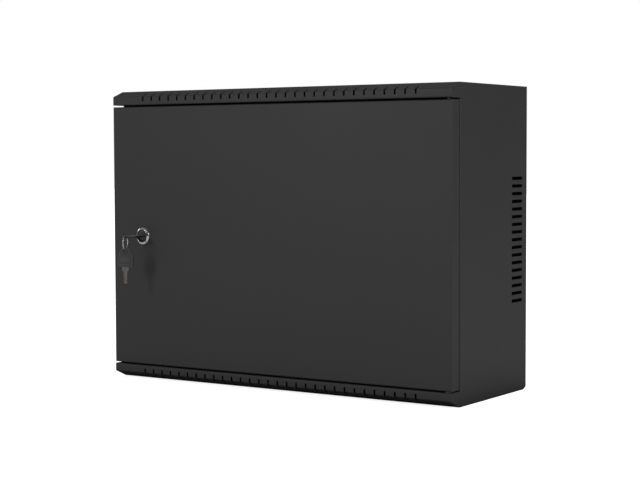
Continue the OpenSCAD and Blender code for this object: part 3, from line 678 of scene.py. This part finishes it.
def key_head(name, node, body, place):
    """A thin plate with a raised rim, a collar round the hole, a web and grip ribs."""
    hole = circle(0, HOLE_Y, HOLE_RADIUS)
    collar = [circle(0, HOLE_Y, HOLE_RADIUS + COLLAR_WIDTH),
              circle(0, HOLE_Y, HOLE_RADIUS + 0.02)]
    web = bar(half_width=6.4, y_low=-25.1, y_high=-22.6, radius=0.5, steps=4)
    # loops, half thickness, edge rounding, rounding steps
    layers = [
        ([HEAD, hole], HEAD_HALF - 0.32, 0.12, 3),
        ([HEAD, inset(HEAD, RIM_WIDTH)], HEAD_HALF, 0.34, 4),
        (collar, HEAD_HALF, 0.3, 4),
        ([web], HEAD_HALF, 0.3, 4),
    ]
    for y in RIB_YS:
        rib = bar(half_width=5.6, y_low=y - RIB_HALF_HEIGHT, y_high=y + RIB_HALF_HEIGHT,
                  radius=0.45, steps=5)
        layers.append(([rib], HEAD_HALF - 0.1, 0.22, 3))
    parts = [plate(loops, (-half, half), bevel, place, steps)
             for loops, half, bevel, steps in layers]
    obj = build(name, parts, "head")
    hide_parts(node)
    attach(obj, body)


head_low, head_high = box("key_head")
lock_centre = centre("lock_plug")
key_z = (head_low.z + head_high.z) / 2


def place_key(q):
    """The key in the lock: its ring end faces forward, a half turn about z."""
    return Vector((lock_centre.x - q.x, head_low.y - q.y, key_z + q.z))


key_head("key_head_moulded", "key_head", "key", place_key)

ring_centre = centre("split_ring")
RING_YAW = math.radians(-67.5)
RING_ACROSS = Vector((math.cos(RING_YAW), math.sin(RING_YAW), 0))   # level, in the ring's plane
RING_NORMAL = Vector((-math.sin(RING_YAW), math.cos(RING_YAW), 0))
spare_top = box("spare_key_head")[1].z


def place_spare(q):
    """The spare key hangs from the ring, its width along the ring's normal."""
    return (Vector((ring_centre.x, ring_centre.y, spare_top)) + RING_NORMAL * q.x
            + Vector((0, 0, q.y)) + RING_ACROSS * q.z)


key_head("spare_key_head_moulded", "spare_key_head", "spare_key", place_spare)


# ------------------------------------------------------------------ lock body
LOCK_BORE = 6.05
BARREL_RADIUS = 9.5
BARREL_FLAT = 8.0       # half the distance between the flats
LOCK_SIDES = 120


def lock_body():
    """Turned flange with a rolled rim, on a barrel with a flat above and below."""
    length = box("lock_body")[1].y + DEPTH
    # radius from the lock's axis, height in front of the door face
    profile = rounded([(LOCK_BORE, -length), (BARREL_RADIUS, -length), (BARREL_RADIUS, 0.0),
                       (11.8, 0.0), (11.8, 0.9), (9.0, 2.7), (8.0, 0.6), (LOCK_BORE, 0.5)],
                      [0.2, 0.3, 0, 0.25, 1.1, 0.45, 0.4, 0.15], 8)
    vertices = []
    for radius, height in profile:
        for j in range(LOCK_SIDES):
            angle = 2 * math.pi * j / LOCK_SIDES
            x, z = radius * math.cos(angle), radius * math.sin(angle)
            if height < 0.0:
                z = max(-BARREL_FLAT, min(BARREL_FLAT, z))
            vertices.append(Vector((lock_centre.x + x, -DEPTH - height, lock_centre.z + z)))
    faces = skin(len(profile), LOCK_SIDES, closed=True)
    obj = build("lock_body_turned", [(vertices, faces)], "chrome", 38)

    def recess(point):
        """Painted shade for the chrome colour: 0 on the rim rising to 1 inside it; a middling
        value behind the flange.
        """
        if point.y / MM >= 0.1 - DEPTH:
            return 0.3
        radius = math.hypot(point.x / MM - lock_centre.x, point.z / MM - lock_centre.z)
        return max(0.0, min(1.0, (8.9 - radius) / 0.7))

    # per-vertex painted shade that darkens the chrome colour
    add_values(obj.data, "recess", [recess(v.co) for v in obj.data.vertices])
    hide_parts("lock_body")
    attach(obj, "door")


lock_body()

# ------------------------------------------------------------------ split ring
RING_RADIUS = 10.0
RING_STEPS, RING_SIDES = 220, 14
RING_HALF_WIDTH, RING_HALF_THICKNESS = 0.62, 0.33   # wire section, along radius and normal
RING_OFFSET = 0.345     # of each turn from the ring's plane
RING_CROSSING = 0.045   # share of the length over which the wire steps across
RING_SQUARENESS = 0.7   # power on the section's sine and cosine; 1 is an ellipse


def squared(value):
    return math.copysign(abs(value) ** RING_SQUARENESS, value)


def split_ring():
    """Two turns of flattened wire with a step where they cross, narrowed at both ends."""
    vertices = []
    for i in range(RING_STEPS + 1):
        share = i / RING_STEPS
        angle = math.radians(200) + 4 * math.pi * share * 0.985
        offset = RING_OFFSET * math.tanh((share - 0.5) / RING_CROSSING)
        spoke = (RING_ACROSS * (RING_RADIUS * math.cos(angle))
                 + Vector((0, 0, RING_RADIUS * math.sin(angle))))
        outward = spoke.normalized()
        size = min(1.0, min(i, RING_STEPS - i) / 4.0 * 0.5 + 0.5)
        for j in range(RING_SIDES):
            around = 2 * math.pi * j / RING_SIDES
            cos, sin = squared(math.cos(around)), squared(math.sin(around))
            vertices.append(ring_centre + spoke + outward * (RING_HALF_WIDTH * cos * size)
                            + RING_NORMAL * (offset + RING_HALF_THICKNESS * sin * size))
    faces = skin(RING_STEPS + 1, RING_SIDES)
    obj = build("split_ring_two_turn", [(vertices, faces)], "ring", 60)
    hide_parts("split_ring")
    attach(obj, "key_ring")


split_ring()

# ------------------------------------------------------------------ hinge spring
COIL_RADIUS, COIL_WIRE = 3.2, 0.40    # coil and wire radius
OPEN_TURNS = 8.0
END_TURNS = 1.25        # closed turns at each end
END_RISE = 1.0          # height taken by the closed turns of one end
END_MARGIN = 0.42       # from the end of the spring to the wire's centre
STEPS_PER_TURN = 40


def hinge_spring():
    """Round wire spring along z with closed coils at both ends."""
    low, high = box("hinge_spring")
    cx, cy = (low.x + high.x) / 2, (low.y + high.y) / 2
    bottom, top = low.z + END_MARGIN, high.z - END_MARGIN
    turns = OPEN_TURNS + 2 * END_TURNS
    steps = int(turns * STEPS_PER_TURN)
    path = []
    for i in range(steps + 1):
        turn = turns * i / steps
        if turn < END_TURNS:
            rise = turn / END_TURNS * END_RISE
        elif turn > OPEN_TURNS + END_TURNS:
            rise = (top - bottom) - (turns - turn) / END_TURNS * END_RISE
        else:
            open_height = top - bottom - 2 * END_RISE
            rise = END_RISE + open_height * (turn - END_TURNS) / OPEN_TURNS
        angle = 2 * math.pi * turn
        path.append(Vector((cx + COIL_RADIUS * math.cos(angle),
                            cy + COIL_RADIUS * math.sin(angle), bottom + rise)))
    obj = build("hinge_spring_coil", [tube(path, COIL_WIRE, 10)], "spring", 60)
    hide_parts("hinge_spring")
    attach(obj, "door")
    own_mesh(obj)


hinge_spring()

# ------------------------------------------------------------------ earth wire and lugs
DOOR_STUD_X, DOOR_STUD_Z = 236, 45      # on the inner face of the door
BODY_STUD_X, BODY_STUD_Y = 238, 36 - DEPTH      # on the base
WIRE_RADIUS = 1.4
WIRE_LIFT = 1.5         # wire centre above the mounting face, at its ends
WIRE_REACH = 14         # from stud to wire end
WIRE_STEPS, WIRE_SIDES = 120, 16
STRIPE_TWIST = 0.11     # radians the stripe winds per step

# lug frame: x from the hole towards the wire, z off the mounting face
TONGUE = rounded([(-0.01, 6), (-6, 6), (-6, -6), (-0.01, -6),
                  (5.5, -2.4), (9.5, -2.2), (9.5, 2.2), (5.5, 2.4)],
                 [0, 5.9, 5.9, 0, 1.5, 0.4, 0.4, 1.5], 12)
LUG_HOLE_RADIUS = 3.15
TONGUE_Z = (0.2, 1.3)
BARREL_START, BARREL_LENGTH = 9.0, 8.2
LUG_BARREL_RADIUS, LUG_BARREL_Z = 1.95, 2.05
CRIMP_X, CRIMP_SPREAD, CRIMP_DEPTH = 13.4, 1.0, 0.26
FLARE, FLARE_SHARE = 0.10, 0.15         # widening at the wire end, and share of the length
BARREL_STEPS, BARREL_SIDES = 26, 20


def bezier(points, t):
    return (points[0] * (1 - t) ** 3 + points[1] * (3 * t * (1 - t) ** 2)
            + points[2] * (3 * t * t * (1 - t)) + points[3] * t ** 3)


def earth_sleeve():
    """Striped sleeve that bends between the door and the cabinet."""
    door_end = Vector((DOOR_STUD_X - WIRE_REACH, SHEET + WIRE_LIFT - DEPTH, DOOR_STUD_Z))
    body_end = Vector((BODY_STUD_X - WIRE_REACH, BODY_STUD_Y, SHEET + WIRE_LIFT))
    handles = [door_end, Vector((182, SHEET + 8 - DEPTH, 52)),
               Vector((184, 40 - DEPTH, 34)), body_end]
    path = [bezier(handles, i / WIRE_STEPS) for i in range(WIRE_STEPS + 1)]
    vertices, faces = tube(path, WIRE_RADIUS, WIRE_SIDES)
    mesh = smooth_mesh("earth_wire_sleeve", vertices, faces, "sleeve")
    add_values(mesh, "stripe",
               [0.5 + 0.5 * math.cos(2 * math.pi * j / WIRE_SIDES + i * STRIPE_TWIST)
                for i in range(len(path)) for j in range(WIRE_SIDES)])
    obj = add_object("earth_wire_sleeve", mesh)
    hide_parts("earth_cable")
    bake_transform(obj)


def lug_barrel(place):
    """Tube crimped near its middle and flared at the wire end."""
    vertices = []
    for i in range(BARREL_STEPS + 1):
        share = i / BARREL_STEPS
        x = BARREL_START + BARREL_LENGTH * i / BARREL_STEPS
        pinch = 1 - CRIMP_DEPTH * math.exp(-((x - CRIMP_X) / CRIMP_SPREAD) ** 2)
        flare = FLARE * max(0, (share - (1 - FLARE_SHARE)) / FLARE_SHARE)
        radius = LUG_BARREL_RADIUS * (1 + flare)
        for j in range(BARREL_SIDES):
            angle = 2 * math.pi * j / BARREL_SIDES
            vertices.append(place(Vector((
                x, radius * math.cos(angle) * (2 - pinch) ** 0.5,
                LUG_BARREL_Z + radius * math.sin(angle) * pinch))))
    return vertices, skin(BARREL_STEPS + 1, BARREL_SIDES)


def earth_lug(name, body, place):
    tongue = plate([TONGUE, circle(0, 0, LUG_HOLE_RADIUS, 40)], TONGUE_Z, 0.14, place, 2)
    obj = build(name, [tongue, lug_barrel(place)], "tin", 35)
    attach(obj, body)


earth_sleeve()
earth_lug("earth_lug_door", "door",
          lambda q: Vector((DOOR_STUD_X - q.x, SHEET - DEPTH + q.z, DOOR_STUD_Z + q.y)))
earth_lug("earth_lug_cabinet", "cabinet",
          lambda q: Vector((BODY_STUD_X - q.x, BODY_STUD_Y + q.y, SHEET + q.z)))

# ------------------------------------------------------------------ stage
FLOOR_HALF = 9   # metres


def floor_material():
    """Evenly lit paper to the camera; close to the cabinet a darker colour and less glow, a
    painted shadow, give a dimmer bounce of light.
    """
    mat = Material("studio_floor")
    camera_ray = mat.node("LightPath").outputs["Is Camera Ray"]
    x, y, _ = mat.xyz(mat.coord)
    beside = mat.math("SUBTRACT", mat.math("ABSOLUTE", x), HALF_WIDTH * MM)
    before_or_behind = mat.math("MAXIMUM", mat.math("SUBTRACT", -DEPTH * MM, y), y)
    away = mat.remap(mat.math("MAXIMUM", beside, before_or_behind), span=(0.005, 0.06))
    glow = mat.plus(mat.times(away, by=0.12), mat.times(camera_ray, by=0.80))
    paper = mat.mix(mat.noise(scale=3.0, detail=4.0), grey(0.86), grey(0.88))
    # darker floor colour within a few centimetres of the cabinet, seen only by bounce rays: a
    # painted shadow
    bounce = mat.mix(away, grey(0.22), grey(0.60))
    return mat.set(Base_Color=mat.mix(camera_ray, bounce, paper), Roughness=0.9,
                   Specular_IOR_Level=0.0, Emission_Color=grey(1), Emission_Strength=glow)


def studio_floor():
    corners = [(-FLOOR_HALF, -FLOOR_HALF, 0), (FLOOR_HALF, -FLOOR_HALF, 0),
               (FLOOR_HALF, FLOOR_HALF, 0), (-FLOOR_HALF, FLOOR_HALF, 0)]
    mesh = bpy.data.meshes.new("studio_floor")
    mesh.from_pydata(corners, [], [(0, 1, 2, 3)])
    floor = add_object("studio_floor", mesh)
    mesh.materials.append(floor_material())


studio_floor()

# ------------------------------------------------------------------ world
DOME = 0.60      # even light for diffuse surfaces
# bright panels seen by polished metal: direction, brightness
PANELS = [
    ((-0.936, -0.057, 0.331), 1.6),   # upper left
    ((0.95, -0.25, 0.28), 0.7),       # right
]


def panel_patch(sky, direction, half_angle, soft):
    """1 inside a round patch of sky, 0 outside it; angles in degrees."""
    span = (math.cos(math.radians(half_angle + soft)), math.cos(math.radians(half_angle - soft)))
    return sky.remap(sky.dot(sky.coord, Vector(direction).normalized()), span=span, smooth=True)


def studio_world():
    """White to the camera, a dim room with panels to reflections, a soft dome to the rest."""
    world = bpy.data.worlds.new("studio")
    scene.world = world
    world.use_nodes = True
    sky = Shader(world.node_tree, "Generated")
    background = sky.node("Background")
    sky.put(sky.node("OutputWorld").inputs[0], background.outputs[0])
    rays = sky.node("LightPath").outputs
    room = sky.remap(sky.xyz(sky.coord)[2], span=(-0.05, 0.9), to=(0.04, 0.26), smooth=True)
    for direction, brightness in PANELS:
        patch = panel_patch(sky, direction, half_angle=8, soft=4)
        room = sky.plus(room, sky.times(patch, by=brightness))
    dome = sky.remap(sky.xyz(sky.coord)[2], span=(-0.2, 1.0), to=(DOME, DOME * 0.86),
                     smooth=True)
    light = sky.mix_values(rays["Is Glossy Ray"], dome, room)
    sky.put(background.inputs[0], sky.mix_values(rays["Is Camera Ray"], light, 1.0))
    background.inputs[1].default_value = 1.0


studio_world()


# ------------------------------------------------------------------ lights
def area_light(name, location, target, size, power):
    """A square light aimed at the target, in metres and watts."""
    lamp = bpy.data.lights.new(name, "AREA")
    lamp.energy = power
    lamp.shape = "RECTANGLE"
    lamp.size = size
    lamp.size_y = size
    lamp.spread = math.radians(180)
    obj = add_object(name, lamp)
    obj.location = location
    obj.rotation_mode = "QUATERNION"
    aim = Vector(target) - Vector(location)
    obj.rotation_quaternion = aim.to_track_quat("-Z", "Y")


# throws the soft shadow of the keys down and to the right
area_light("key_left", location=(-0.85, -2.25, 0.86), target=(-0.19, -0.23, 0.19),
           size=0.50, power=9.5)
area_light("fill_right", location=(1.75, -0.55, 0.95), target=(0.27, -0.1, 0.2),
           size=0.9, power=9.5)

# ------------------------------------------------------------------ camera
CAMERA_PLACE = (1.19021, -1.89091, 0.31518)
CAMERA_RIGHT = (0.83451, 0.55099, -0.00316)
CAMERA_FORWARD = (-0.5503, 0.83314, -0.05524)


def studio_camera():
    camera = bpy.data.cameras.new("camera")
    camera.lens = 88.3839
    camera.sensor_width = 36.0
    camera.clip_start = 0.05
    camera.clip_end = 60
    obj = add_object("camera", camera)
    forward = Vector(CAMERA_FORWARD).normalized()
    up = Vector(CAMERA_RIGHT).normalized().cross(forward).normalized()
    right = forward.cross(up)
    rotation = Matrix((right, up, -forward)).transposed().to_4x4()
    obj.matrix_world = Matrix.Translation(CAMERA_PLACE) @ rotation
    scene.camera = obj


studio_camera()
scene.view_settings.view_transform = "Standard"
scene.view_settings.look = "None"
scene.view_settings.exposure = 0.0
scene.view_settings.gamma = 1.0
